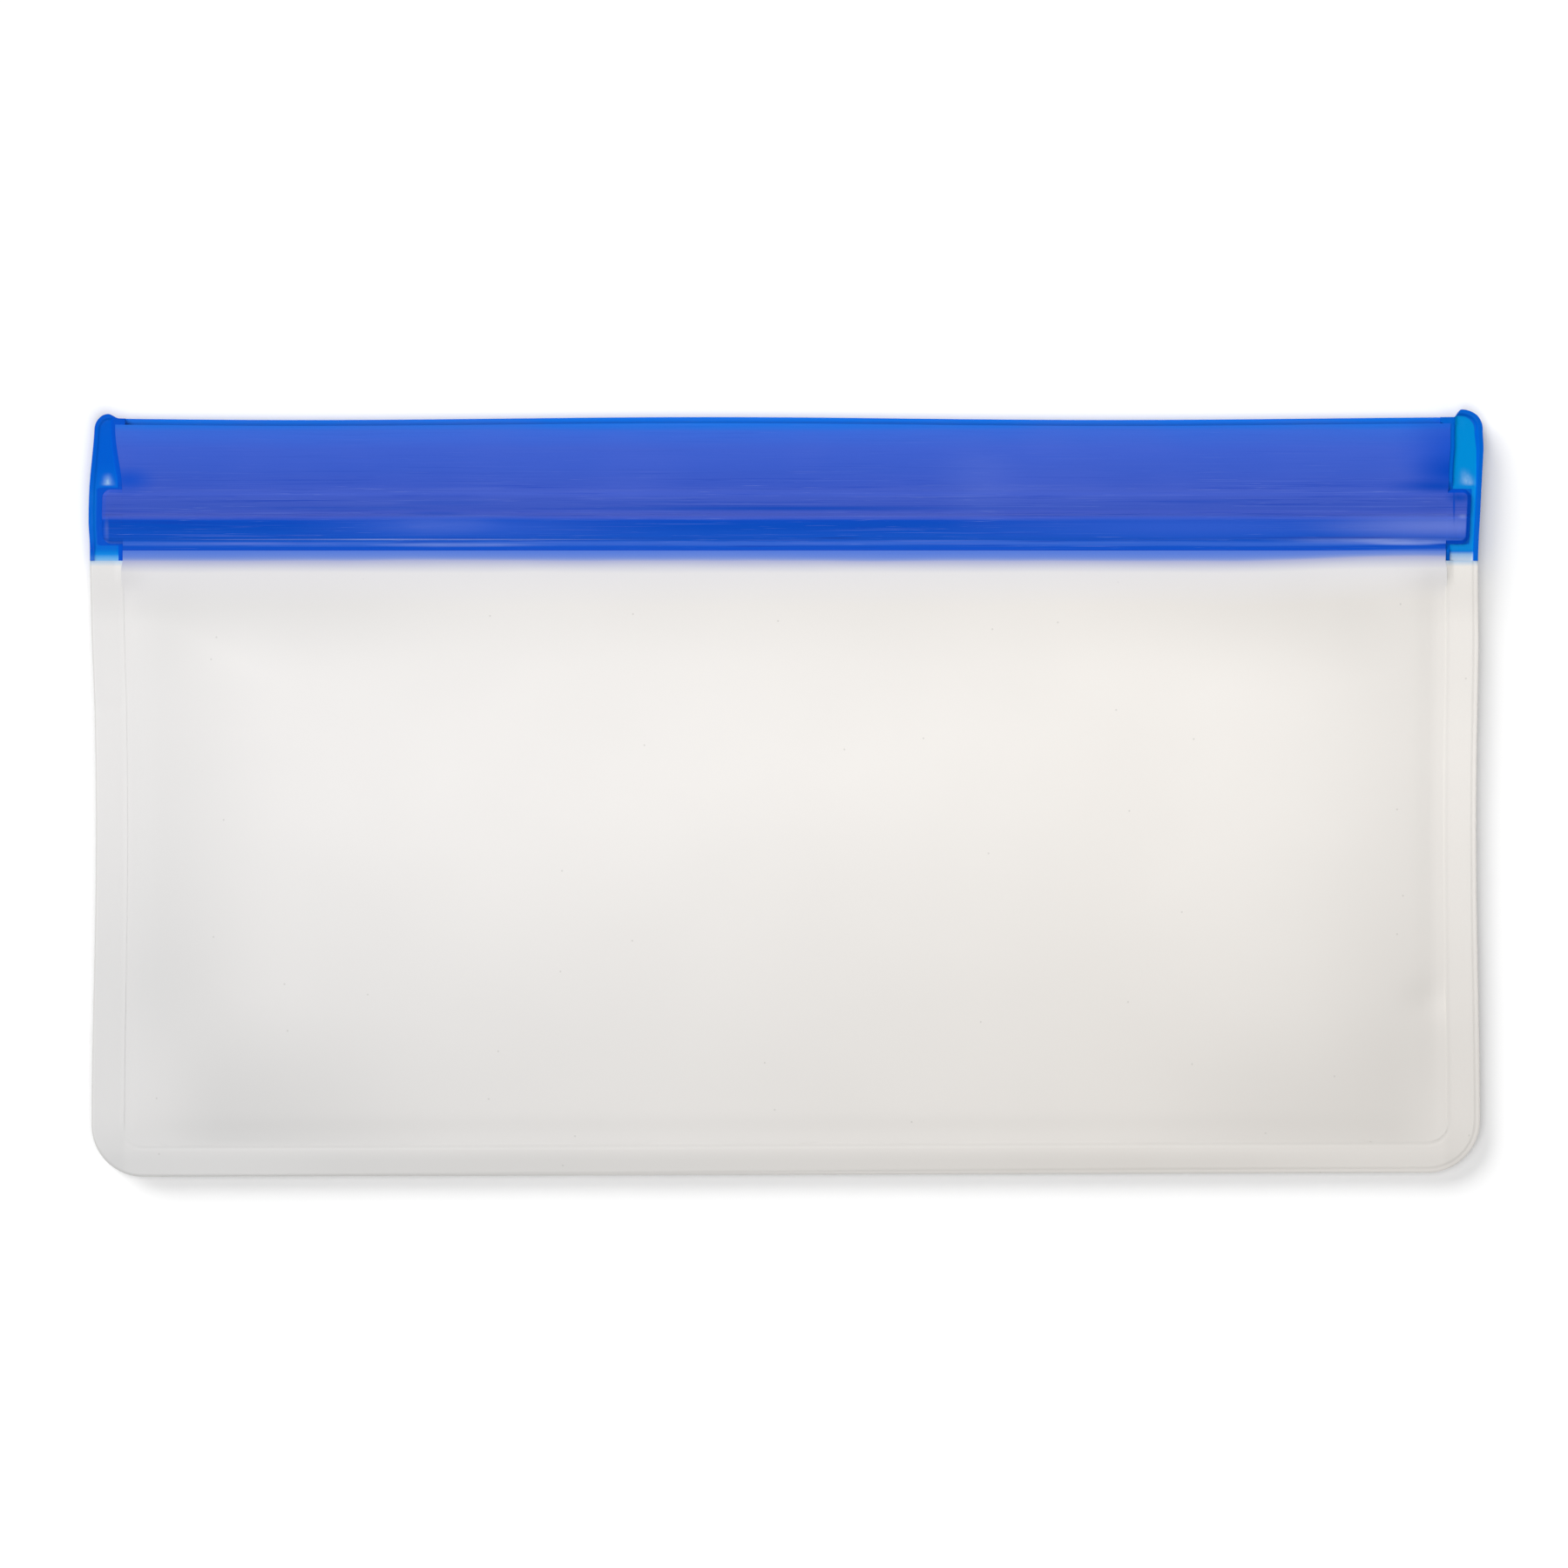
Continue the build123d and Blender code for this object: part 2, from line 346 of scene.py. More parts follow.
def frosted_film(name, has_foot):
    """Frosted film: faintly cloudy and specked, with painted shade; by the tape, painted bluish shade, then
    the tape's blue.
    """
    made, tree, shader, place = finish_of(name, 0.5, 0.25, alpha=0.93)
    xyz = add(tree, "ShaderNodeSeparateXYZ", {0: place})
    warm = ranged(tree, xyz.outputs["X"], -110, 50, 0.0, 1.0)
    ground = blended(tree, warm, tint(248, 246, 245), tint(249, 245, 240))
    # Painted shade: the stored share makes the film greyer low down, at its flanks, corners and top; the
    # clouds use the same greyer tone as random tone.
    shade_and_cloud_grey = blended(tree, warm, tint(211, 211, 211), tint(214, 210, 205))
    ground = blended(tree, stored(tree, "shade_share"), ground, shade_and_cloud_grey)
    clouds = ranged(tree, cloud(tree, place, (34, 26, 30)), 0.3, 0.7, 0.0, 0.10)
    ground = blended(tree, clouds, ground, shade_and_cloud_grey)
    spacing = {"Vector": place, "Scale": 1 / 11.0}
    cells = add(tree, "ShaderNodeTexVoronoi", spacing, voronoi_dimensions="2D")
    dot = math_of(tree, "LESS_THAN", cells.outputs["Distance"], 0.014)
    chosen = add(tree, "ShaderNodeSeparateColor", {0: cells.outputs["Color"]}).outputs[0]
    speck = math_of(tree, "MULTIPLY", dot, math_of(tree, "GREATER_THAN", chosen, 0.7))
    ground = blended(tree, math_of(tree, "MULTIPLY", speck, 0.25), ground, tint(150, 148, 142))
    if has_foot:
        # Below the tape: painted bluish shade that fades downwards; higher up, the tape's own blue seen
        # through the film's lap.
        drift = ranged(tree, cloud(tree, place, (25, 3, 3)), 0.3, 0.7, -0.12, 0.12)
        height = math_of(tree, "ADD", stored(tree, "across"), drift)
        shade_and_lap_tone = ramp(
            tree,
            height,
            [
                (-1.7, tint(233, 232, 235)),
                (-0.9, tint(214, 215, 228)),
                (-0.5, tint(201, 204, 224)),
                (0.1, tint(178, 182, 219)),
                (0.5, tint(125, 150, 220)),
                (0.9, tint(100, 134, 221)),
                (1.6, tint(80, 122, 222)),
            ],
        )
        shade_and_lap_share = ranged(tree, height, -7.0, -1.2, 0.0, 1.0)
        ground = blended(tree, shade_and_lap_share, ground, shade_and_lap_tone)
    else:
        cut_edge = ranged(tree, stored(tree, "share"), 0.945, 0.965, 0.0, 1.0)
        not_right = ranged(tree, xyz.outputs["X"], 96, 104, 0.4, 0.0)
        ground = blended(tree, math_of(tree, "MULTIPLY", cut_edge, not_right), ground, tint(196, 195, 192))
        under_tab = ranged(tree, xyz.outputs["Y"], foot_y / MM - 0.9, foot_y / MM, 0.0, 0.85)
        ground = blended(tree, under_tab, ground, tint(160, 198, 234))
    tree.links.new(ground, shader.inputs["Base Color"])
    grain = cloud(tree, place, (0.35, 0.35, 0.35), 3.0, 0.6)
    tree.links.new(ranged(tree, grain, 0.3, 0.7, 0.44, 0.58), shader.inputs["Roughness"])
    bumped(tree, shader, grain, 0.00002, 0.35)
    return made


# How high above its foot each feature of the tape lies, in millimetres
lap_edge = (lap_y - foot_y) / MM
lower_foot = (lower_low.y - foot_y) / MM
lower_top = (lower_high.y - foot_y) / MM
upper_foot = (upper_low.y - foot_y) / MM
upper_top = (upper_high.y - foot_y) / MM
lip_edge = (rear_lip_y - foot_y) / MM

TAPE_TONES = [
    (0.0, tint(90, 128, 214)),
    (lap_edge - 0.1, tint(70, 116, 212)),
    (lap_edge + 0.2, tint(15, 84, 201)),
    (lower_foot - 1.05, tint(16, 84, 200)),
    (lower_foot - 0.7, tint(52, 101, 208)),
    (lower_foot - 0.35, tint(54, 102, 208)),
    (lower_foot - 0.05, tint(17, 84, 198)),
    (lower_foot + 1.3, tint(14, 80, 194)),
    (lower_top - 1.0, tint(5, 76, 190)),
    (lower_top - 0.05, tint(8, 76, 193)),
    (upper_foot - 0.2, tint(66, 92, 197)),
    (upper_foot + 0.2, tint(73, 95, 197)),
    (upper_foot + 0.75, tint(66, 90, 195)),
    (upper_foot + 1.2, tint(60, 88, 192)),
    (upper_top + 0.8, tint(68, 95, 200)),
    (upper_top + 1.7, tint(60, 90, 198)),
    (upper_top + 4.2, tint(60, 93, 202)),
    (lip_edge - 4.6, tint(64, 98, 208)),
    (lip_edge - 1.8, tint(60, 107, 218)),
    # The last stops brighten towards the top of the lips: a painted highlight along their edge.
    (lip_edge - 1.1, tint(40, 113, 225)),
    (lip_edge, tint(18, 122, 238)),
]

PALE, HAZY, MID, DEEP = tint(150, 170, 232), tint(98, 122, 214), tint(45, 91, 204), tint(4, 72, 192)

# Soft marks on the band: centre, reach (millimetres), colour and strength
BAND_MARKS = [
    ((-52.0, 42.1), (32.0, 2.6), MID, 1.0),
    ((-56.0, 42.4), (14.0, 1.9), HAZY, 0.5),
    ((66.0, 42.1), (50.0, 2.8), MID, 1.0),
    ((30.5, 49.5), (9.0, 9.0), HAZY, 0.28),
    ((104.0, 42.3), (26.0, 2.6), HAZY, 1.0),
    ((94.0, 40.0), (20.0, 0.8), PALE, 0.6),
    ((99.0, 39.6), (8.0, 0.5), PALE, 0.8),
    ((107.0, 54.5), (12.0, 8.0), tint(30, 84, 206), 1.0),
    ((106.5, 51.0), (9.5, 4.2), DEEP, 1.0),
    ((104.0, 48.6), (11.0, 1.6), tint(14, 72, 188), 1.0),
    ((0.0, 45.1), (44.0, 0.6), tint(22, 74, 186), 1.0),
    ((-70.0, 45.1), (20.0, 0.5), tint(30, 76, 186), 0.8),
    ((-104.0, 49.6), (5.5, 2.8), tint(28, 82, 202), 1.0),
    ((106.1, 45.8), (0.3, 4.0), DEEP, 1.0),
    ((107.0, 46.8), (3.0, 1.2), tint(18, 74, 184), 1.0),
    ((107.5, 43.8), (1.0, 0.6), PALE, 0.5),
    ((105.0, 39.35), (4.2, 0.3), DEEP, 1.0),
    ((-107.5, 41.2), (0.6, 3.4), PALE, 0.22),
    ((-60.0, 40.15), (46.0, 0.16), PALE, 0.75),
    ((-52.0, 39.3), (18.0, 0.45), PALE, 0.55),
    ((-84.0, 39.5), (24.0, 0.35), HAZY, 0.7),
    ((8.2, 40.4), (5.2, 0.16), tint(10, 46, 140), 0.9),
    ((90.0, 40.45), (27.0, 0.28), tint(24, 62, 170), 0.85),
    ((-54.0, 46.0), (10.0, 0.6), tint(36, 80, 192), 0.8),
    ((-55.0, 44.3), (8.0, 0.55), tint(36, 80, 192), 0.8),
    ((66.0, 46.2), (14.0, 0.6), tint(36, 76, 188), 0.7),
    ((-20.0, 46.1), (40.0, 0.3), tint(24, 72, 184), 0.4),
]


def blue_tape(name):
    """Extruded blue tape: tone by thickness across the band, drawn streaks, painted sheen and a painted lip
    highlight.
    """
    made, tree, shader, place = finish_of(name, 0.38, 0.02, alpha=0.97)
    along = add(tree, "ShaderNodeSeparateXYZ", {0: place}).outputs["X"]
    face_z = (parting_z + tape_outer) / MM
    place = add(tree, "ShaderNodeCombineXYZ", {0: along, 1: stored(tree, "drawn_y"), 2: face_z}).outputs[0]
    drift = ranged(tree, cloud(tree, place, (55, 5, 4), 3.0), 0.3, 0.7, -0.2, 0.2)
    height = math_of(tree, "ADD", stored(tree, "across"), drift)
    tones = ramp(tree, height, TAPE_TONES)
    field = ranged(tree, height, upper_top + 1.0, upper_top + 5.0, 1.0, 0.25)
    tracks = math_of(tree, "MULTIPLY", field, ranged(tree, height, lap_edge, lap_edge + 1.0, 0.0, 1.0))
    for stretch, low, high, colour, strength in (
        ((26, 0.30, 2), 0.56, 0.72, HAZY, 0.34),
        ((18, 0.22, 3), 0.56, 0.70, tint(14, 62, 180), 0.5),
        ((9, 0.14, 5), 0.64, 0.74, PALE, 0.32),
    ):
        lines = ranged(tree, cloud(tree, place, stretch, 3.0, 0.6), low, high, 0.0, strength)
        tones = blended(tree, math_of(tree, "MULTIPLY", lines, tracks), tones, colour)
    # Painted sheen: random lighter hazy patches, mostly above the tracks, stand in for a reflection of the
    # bright surroundings.
    sheen_cloud = cloud(tree, place, (30, 16, 8), 2.0)
    above_tracks = ranged(tree, height, 9.0, 11.0, 0.15, 1.0)
    painted_sheen = math_of(tree, "MULTIPLY", ranged(tree, sheen_cloud, 0.48, 0.74, 0.0, 0.26), above_tracks)
    tones = blended(tree, painted_sheen, tones, tint(84, 108, 212))
    broken = ranged(tree, cloud(tree, place, (14, 1.6, 4), 3.0, 0.6), 0.3, 0.7, 0.35, 1.0)
    for centre, reach, colour, strength in BAND_MARKS:
        held = strength if strength >= 1 else math_of(tree, "MULTIPLY", broken, strength)
        tones = mark(tree, tones, place, centre, reach, colour, held)
    tones = blended(tree, stored(tree, "rim"), tones, tint(3, 76, 198))
    tree.links.new(tones, shader.inputs["Base Color"])
    streak = cloud(tree, place, (45, 0.5, 2), 4.0, 0.65)
    tree.links.new(ranged(tree, streak, 0.3, 0.7, 0.30, 0.46), shader.inputs["Roughness"])
    bumped(tree, shader, streak, 0.00006, 0.4)
    return made


def blue_track(name, colour, pale):
    """The heavier blue of ribs and channels, with fine drawn lines along them."""
    made, tree, shader, place = finish_of(name, 0.38, 0.2)
    lines = cloud(tree, place, (70, 0.35, 0.5), 4.0, 0.6)
    tone = blended(tree, ranged(tree, lines, 0.4, 0.72, 0.0, 0.6), colour, pale)
    tree.links.new(tone, shader.inputs["Base Color"])
    tree.links.new(ranged(tree, lines, 0.3, 0.7, 0.3, 0.46), shader.inputs["Roughness"])
    bumped(tree, shader, lines, 0.00004, 0.4)
    return made


def melted_blue(name, field_low, field_high, flash, foot_tones):
    """Melted tape: clear where pressed thin, deep blue in the flash along its edges, pale at its foot."""
    made, tree, shader, place = finish_of(name, 0.25, 0.02)
    height = stored(tree, "across")
    field = ramp(tree, height, [(upper_top, field_low), (upper_top + 5.0, field_high)])
    foot = ramp(tree, height, list(zip((0.0, 0.45, 1.0, 1.5), foot_tones)))
    field = blended(tree, ranged(tree, height, 1.9, 1.4, 0.0, 1.0), field, foot)
    wobble = ranged(tree, cloud(tree, place, (1.8, 3.0, 2), 3.0), 0.3, 0.7, -0.1, 0.1)
    depth = math_of(tree, "ADD", stored(tree, "flash"), wobble)
    tone = blended(tree, ranged(tree, depth, 0.2, 0.7, 0.0, 1.0), field, flash)
    glints = ranged(tree, cloud(tree, place, (0.7, 1.2, 1), 2.0), 0.35, 0.65, 0.5, 1.0)
    glints = math_of(tree, "MULTIPLY", stored(tree, "glint"), glints)
    tone = blended(tree, glints, tone, tint(176, 212, 242))
    tree.links.new(tone, shader.inputs["Base Color"])
    tree.links.new(ranged(tree, height, 0.0, 1.2, 0.45, 0.2), shader.inputs["Roughness"])
    bumped(tree, shader, cloud(tree, place, (0.9, 1.6, 1), 3.0), 0.00008, 0.4)
    return made


film_finish = frosted_film("frosted film", True)
weld_finish = frosted_film("fused film", False)
tape_finish = blue_tape("blue zip tape")
channel_finish = blue_track("blue channel", tint(14, 72, 198), tint(70, 92, 205))
rib_finish = blue_track("blue rib", tint(6, 74, 205), tint(60, 100, 215))
left_melt = melted_blue(
    "left melted tape",
    field_low=tint(4, 108, 216),
    field_high=tint(2, 93, 209),
    flash=tint(5, 84, 205),
    foot_tones=(tint(132, 186, 232), tint(98, 172, 233), tint(20, 138, 228), tint(0, 122, 219)),
)
right_melt = melted_blue(
    "right melted tape",
    field_low=tint(6, 134, 216),
    field_high=tint(0, 140, 214),
    flash=tint(1, 98, 206),
    foot_tones=(tint(196, 210, 224), tint(176, 198, 222), tint(140, 180, 222), tint(8, 116, 212)),
)


# ------------------------------------------------------------ films
tuck = 0.3 * MM  # how far each film runs in under the weld's bead
sink = 0.03 * MM


def swelling(x, y, side_reach, base_reach, fullness):
    """Height of a film's outside above the parting plane: welded on three sides, held open by the tape."""
    rim = rim_height(x, y)
    inset = min(weld_x - abs(x), y - weld_y)
    sides = rise(weld_x - abs(x), side_reach, fullness)
    base = rise(y - weld_y, base_reach, fullness)
    body = mix(rim, crown, sides * base)
    near_tape = smooth(y, foot_y - 20 * MM, foot_y)
    ease = mix(11, 22, smooth(x, 0, 60 * MM)) * MM
    near_tape *= mix(smooth(weld_x - abs(x), 0.0, ease), 1.0, smooth(y, foot_y - 5 * MM, foot_y))
    bead = 0.045 * MM * math.exp(-((inset / (0.4 * MM)) ** 2)) * (1 - smooth(y, foot_y - 3 * MM, foot_y))
    edge = bead - sink * (1 - smooth(inset, -tuck, 0.1 * MM))
    return mix(body, max(rim, lap_outer - end_dip(x)), near_tape) + edge


def rim_height(x, y):
    """Top of the welded rim above the parting plane; it thickens into the end welds."""
    return mix(rim_half, tape_inner + 0.2 * MM, smooth(y, foot_y - 10 * MM, foot_y))


def end_dip(x):
    """How far the closed band is pressed down beside the end welds."""
    return 0.12 * MM * smooth(abs(x), weld_x - 5 * MM, weld_x)


def film_outline(u, v):
    """A point of the film's plan, with the welded corners rounded."""
    low = weld_y - tuck
    corner = inner_radius + tuck
    y = mix(low, lap_y, v)
    half = weld_x + tuck * (1 - smooth(y, foot_y - 1.5 * MM, foot_y))
    x = mix(-half, half, u)
    dx, dy = abs(x) - (half - corner), (low + corner) - y
    if dx > 0 and dy > 0:
        dx, dy = corner_round(dx, dy)
        x = math.copysign(half - corner + dx, x)
        y = low + corner - dy
    return x, y


def across(x, y):
    """Height above the tape's foot in millimetres; the foot line lifts a little at the right end."""
    lift = 0.8 * smooth(x, 70 * MM, 103 * MM) * (1 - smooth(y, foot_y + 1 * MM, lower_low.y))
    return (y - foot_y) / MM + 0.25 - lift


def flat_height(x, y):
    """A point's y in millimetres with the mouth shut, so that drawn lines stay with the moving tape."""
    return y / MM


def painted_shade(x, y):
    """Painted shade on film and rim: greyer low down, at flanks, corners and top, where less light falls."""
    beyond = max(abs(x) - weld_x, weld_y - y)
    rim = smooth(beyond, -3 * MM, 1 * MM)
    base = 0.46 * smooth(-y, -12 * MM, 50 * MM) + 0.22 * smooth(-y, 50 * MM, 60 * MM)
    left = 0.40 * smooth(-x, weld_x - 28 * MM, weld_x - 4 * MM) * (1 - 0.68 * smooth(-y, 25 * MM, 48 * MM))
    right = 0.18 * smooth(x, weld_x - 24 * MM, weld_x - 6 * MM)
    right *= (0.2 + 0.8 * smooth(-y, 10 * MM, 35 * MM)) * (1 - 0.45 * smooth(-y, 38 * MM, 50 * MM))
    corner = 0.25 * smooth(abs(x), 45 * MM, 85 * MM) * smooth(-y, 30 * MM, 52 * MM)
    pale = 17 * MM if x < 0 else 10 * MM
    corner *= 1 - 0.85 * smooth(abs(x), weld_x - pale, weld_x - pale + 13 * MM)
    corner *= 1 - smooth(weld_y - y, -0.5 * MM, 1.5 * MM)
    edge = 0.1 * smooth(abs(x), weld_x - 0.5 * MM, weld_x + 0.5 * MM)
    top = (0.3 + 0.2 * smooth(abs(x), 40 * MM, 90 * MM)) * smooth(y, foot_y - 22 * MM, foot_y - 5 * MM)
    top *= 1 - 0.85 * smooth(x, 88 * MM, 101 * MM)
    foot = 0.28 * smooth(-y, 55.5 * MM, 58.5 * MM) * (1 - 0.6 * smooth(abs(x), 65 * MM, 98 * MM))
    flanks = (left + right) * (1 - 0.6 * rim)
    return min(1.0, base + foot + corner + edge + max(flanks, top * (1 - rim)))


def front_film():
    dent_x, dent_y = weld_x - 2.6 * MM, -33 * MM
    dent_reach, dent_depth = 3 * MM, 0.3 * MM

    def place(u, v):
        x, y = film_outline(u, v)
        z = swelling(x, y, mix(26, 36, smooth(x, -40 * MM, 60 * MM)) * MM, 60 * MM, 2.2)
        inside = rise(weld_x - abs(x), 12 * MM, 2) * rise(y - weld_y, 12 * MM, 2)
        soft = inside * (1 - smooth(y, foot_y - 8 * MM, foot_y))
        z += soft * 0.09 * MM * soft_noise(x, y, 34 * MM, 3.1)
        from_dent = math.hypot(x - dent_x, y - dent_y) / dent_reach
        z -= dent_depth * math.exp(-from_dent * from_dent)
        return settle((x, y, parting_z + z))

    made = piece("front_pouch_film", grid(150, 110, place), film_finish, "frosted_film", "front_film")
    graded(made, "shade_share", painted_shade)
    graded(made, "across", across)
    wall(made, film_wall)
    return opens(made)


def rear_film():
    def place(u, v):
        x, y = film_outline(1 - u, v)
        z = swelling(x, y, 20 * MM, 34 * MM, 2.6)
        return settle((x, y, parting_z - z))

    made = piece("rear_pouch_film", grid(120, 80, place), film_finish, "frosted_film", "rear_film")
    graded(made, "shade_share", painted_shade)
    graded(made, "across", across)
    wall(made, film_wall)
    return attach(made, "rear_wall")


# ------------------------------------------------------------ welded rim
def rim_path(share, out):
    """A point of the rim, a share of the way from its left end to its right one, out from its inner line.

    It runs down the left side, round the bottom and up the right side.
    """
    side = foot_y - (bottom_y + outer_radius)
    arc = math.pi / 2 * outer_radius
    base = 2 * (half_width - outer_radius)
    lengths = (side, arc, base, arc, side)
    along = share * sum(lengths)
    radius = inner_radius + out
    left, low = -(half_width - outer_radius), bottom_y + outer_radius
    if along < side:
        return left - radius, foot_y - along
    along -= side
    if along < arc:
        turn = along / outer_radius
        return left - radius * math.cos(turn), low - radius * math.sin(turn)
    along -= arc
    if along < base:
        return left + along, low - radius
    along -= base
    if along < arc:
        turn = along / outer_radius
        return -left + radius * math.sin(turn), low - radius * math.cos(turn)
    return -left + radius, low + along - arc


def rim_relief(x, y, out):
    """Pressed face of the weld: a bead up its sides, a groove along its foot and a step near its edge.

    The step is where the front film ends, short of the rear one; a crease crosses the left side.
    """
    low = smooth(weld_y - y, -4 * MM, 0)
    line_out, line_width = mix(0.05, 0.7, low) * MM, mix(0.4, 0.22, low) * MM
    from_line = (out - line_out) / line_width
    bead = mix(0.045, -0.035, low) * MM * math.exp(-from_line * from_line)
    film_edge = rim_width - mix(0.25, 0.8, smooth(x, -100 * MM, 100 * MM)) * MM
    step = -0.07 * MM * smooth(out, film_edge - 0.1 * MM, film_edge + 0.1 * MM)
    edge = -0.05 * MM * smooth(out, rim_width - 0.12 * MM, rim_width)
    wave = 0.04 * MM * soft_noise(x, y, 11 * MM, 8.3)
    crease_y, crease_width = 13.6 * MM, 0.35 * MM
    from_crease = (y - crease_y) / crease_width
    crease = -0.07 * MM * math.exp(-from_crease * from_crease) * smooth(-x, 104.9 * MM, 106 * MM)
    return bead + step + edge + wave + crease


def welded_rim():
    def place(u, v):
        out = rim_width * v
        x, y = rim_path(u, out)
        lift = 0.4 * MM * smooth(y, foot_y - 5 * MM, foot_y) * (1 - smooth(out, 0.0, 1.5 * MM))
        return settle((x, y, parting_z + rim_height(x, y) + lift + rim_relief(x, y, out)))

    bm = grid(420, 30, place)
    close_below(bm, lambda co: 2 * parting_z - co.z - 0.05 * MM)
    nodes = ("left_side_weld", "right_side_weld", "bottom_weld")
    made = piece("welded_rim", bm, weld_finish, "frosted_weld", *nodes)
    graded(made, "shade_share", painted_shade)
    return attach(made, "rear_wall")


# ------------------------------------------------------------ zip band
def lip_droop(y):
    """Above the tracks the two lips lean together."""
    return 0.45 * MM * smooth(y, upper_high.y, front_lip_y)


def band_top(x, y):
    """Outer face of a tape above the parting plane, faintly ridged where it carries its tracks."""
    ridge = 0.0
    for low, high in ((lower_low.y, lower_high.y), (upper_low.y, upper_high.y)):
        up = smooth(y, low - 0.25 * MM, low + 0.15 * MM)
        down = smooth(y, high - 0.15 * MM, high + 0.25 * MM)
        ridge += 0.10 * MM * up * (1 - down)
    wave = 0.05 * MM * noise.noise(Vector((x / (40 * MM), y / (3 * MM), 5.0)))
    wave *= 1 - smooth(abs(x), weld_x - 6 * MM, weld_x - 1 * MM)
    return tape_outer + ridge + wave - lip_droop(y) - end_dip(x)


def band_end(side, y):
    """Where the lips run into an end weld: both lean out towards the top, the right after a small step."""
    if side < 0:
        return weld_x + 1.6 * MM * smooth(y, upper_high.y, front_lip_y)
    step = 0.1 * MM * smooth(y, stop_high.y - 0.3 * MM, stop_high.y + 0.1 * MM)
    return weld_x + step + 0.5 * MM * smooth(y, 50 * MM, front_lip_y)


def front_band():
    def place(u, v):
        y = mix(foot_y, front_lip_y, v)
        x = mix(-band_end(-1, y), band_end(1, y), u)
        return settle((x, y, parting_z + band_top(x, y)))

    made = piece("front_band", grid(200, 96, place), tape_finish, "blue_tape", "front_zip_tape")
    graded(made, "across", across)
    graded(made, "drawn_y", flat_height)
    wall(made, tape_outer - tape_inner)
    return opens(made)


def rear_band():
    def place(u, v):
        y = mix(foot_y, rear_lip_y, v)
        x = mix(band_end(1, y), -band_end(-1, y), u)
        return settle((x, y, parting_z - band_top(x, y)))

    made = piece("rear_band", grid(200, 96, place), tape_finish, "blue_tape", "rear_zip_tape")
    graded(made, "across", across)
    graded(made, "drawn_y", flat_height)
    wall(made, tape_outer - tape_inner)
    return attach(made, "rear_wall")


def channel(node, name):
    """A track's hooked channel, cut into short lengths so that it can bend with the mouth."""
    bm = bmesh.new()
    bm.from_mesh(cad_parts[node].data)
    bmesh.ops.remove_doubles(bm, verts=bm.verts[:], dist=0.001 * MM)
    cuts = 72
    for i in range(1, cuts):
        x = mix(-weld_x, weld_x, i / cuts)
        geom = bm.verts[:] + bm.edges[:] + bm.faces[:]
        bmesh.ops.bisect_plane(bm, geom=geom, plane_co=(x, 0, 0), plane_no=(1, 0, 0), dist=0.001 * MM)
    made = piece(name, bm, channel_finish, "blue_track", node)
    made.data.shade_flat()
    return opens(made)


# ------------------------------------------------------------ end welds
flash_width = 0.85 * MM


def ear_radius(side):
    return 2.4 * MM if side < 0 else 3.1 * MM


def stop_end(side):
    """How far out the crushed tracks reach: the right ones run nearly to the edge."""
    return weld_x + stop_reach - (0.4 if side > 0 else 0.9) * MM


def flash(side, x, y, top):
    """Depth of colour, then relief: 1 in the flash along an end weld's edges, 0 in its pressed face.

    The colour also deepens round the crushed tracks, but the face stays low there.
    """
    radius = ear_radius(side)
    dx, dy = x - (half_width - radius), y - (top - radius)
    to_edge = min(half_width - x, top - y)
    if dx > 0 and dy > 0:
        to_edge = radius - math.hypot(dx, dy)
    outer = 1 - smooth(to_edge, flash_width * 0.7, flash_width * 1.2)
    to_lips = x - band_end(side, y) + 0.1 * MM
    inner = 1 - smooth(to_lips, flash_width * 0.7, flash_width * 1.2)
    gap_x = max(0.0, x - stop_end(side))
    gap_y = max(0.0, stop_low.y - y, y - stop_high.y)
    halo = (0.05, 0.2) if side > 0 else (0.5, 1.3)
    stop = 1 - smooth(math.hypot(gap_x, gap_y * (1 if side > 0 else 3)), halo[0] * MM, halo[1] * MM)
    clear_of_stop = smooth(gap_y, 0.2 * MM, 1.4 * MM)
    at_foot = 1 - smooth(y, lap_y + 0.2 * MM, stop_low.y + 1 * MM)
    depth = max(outer * (1 if side > 0 else mix(0.3, 0.65, at_foot)), inner, stop)
    return depth, max(outer, inner * clear_of_stop)


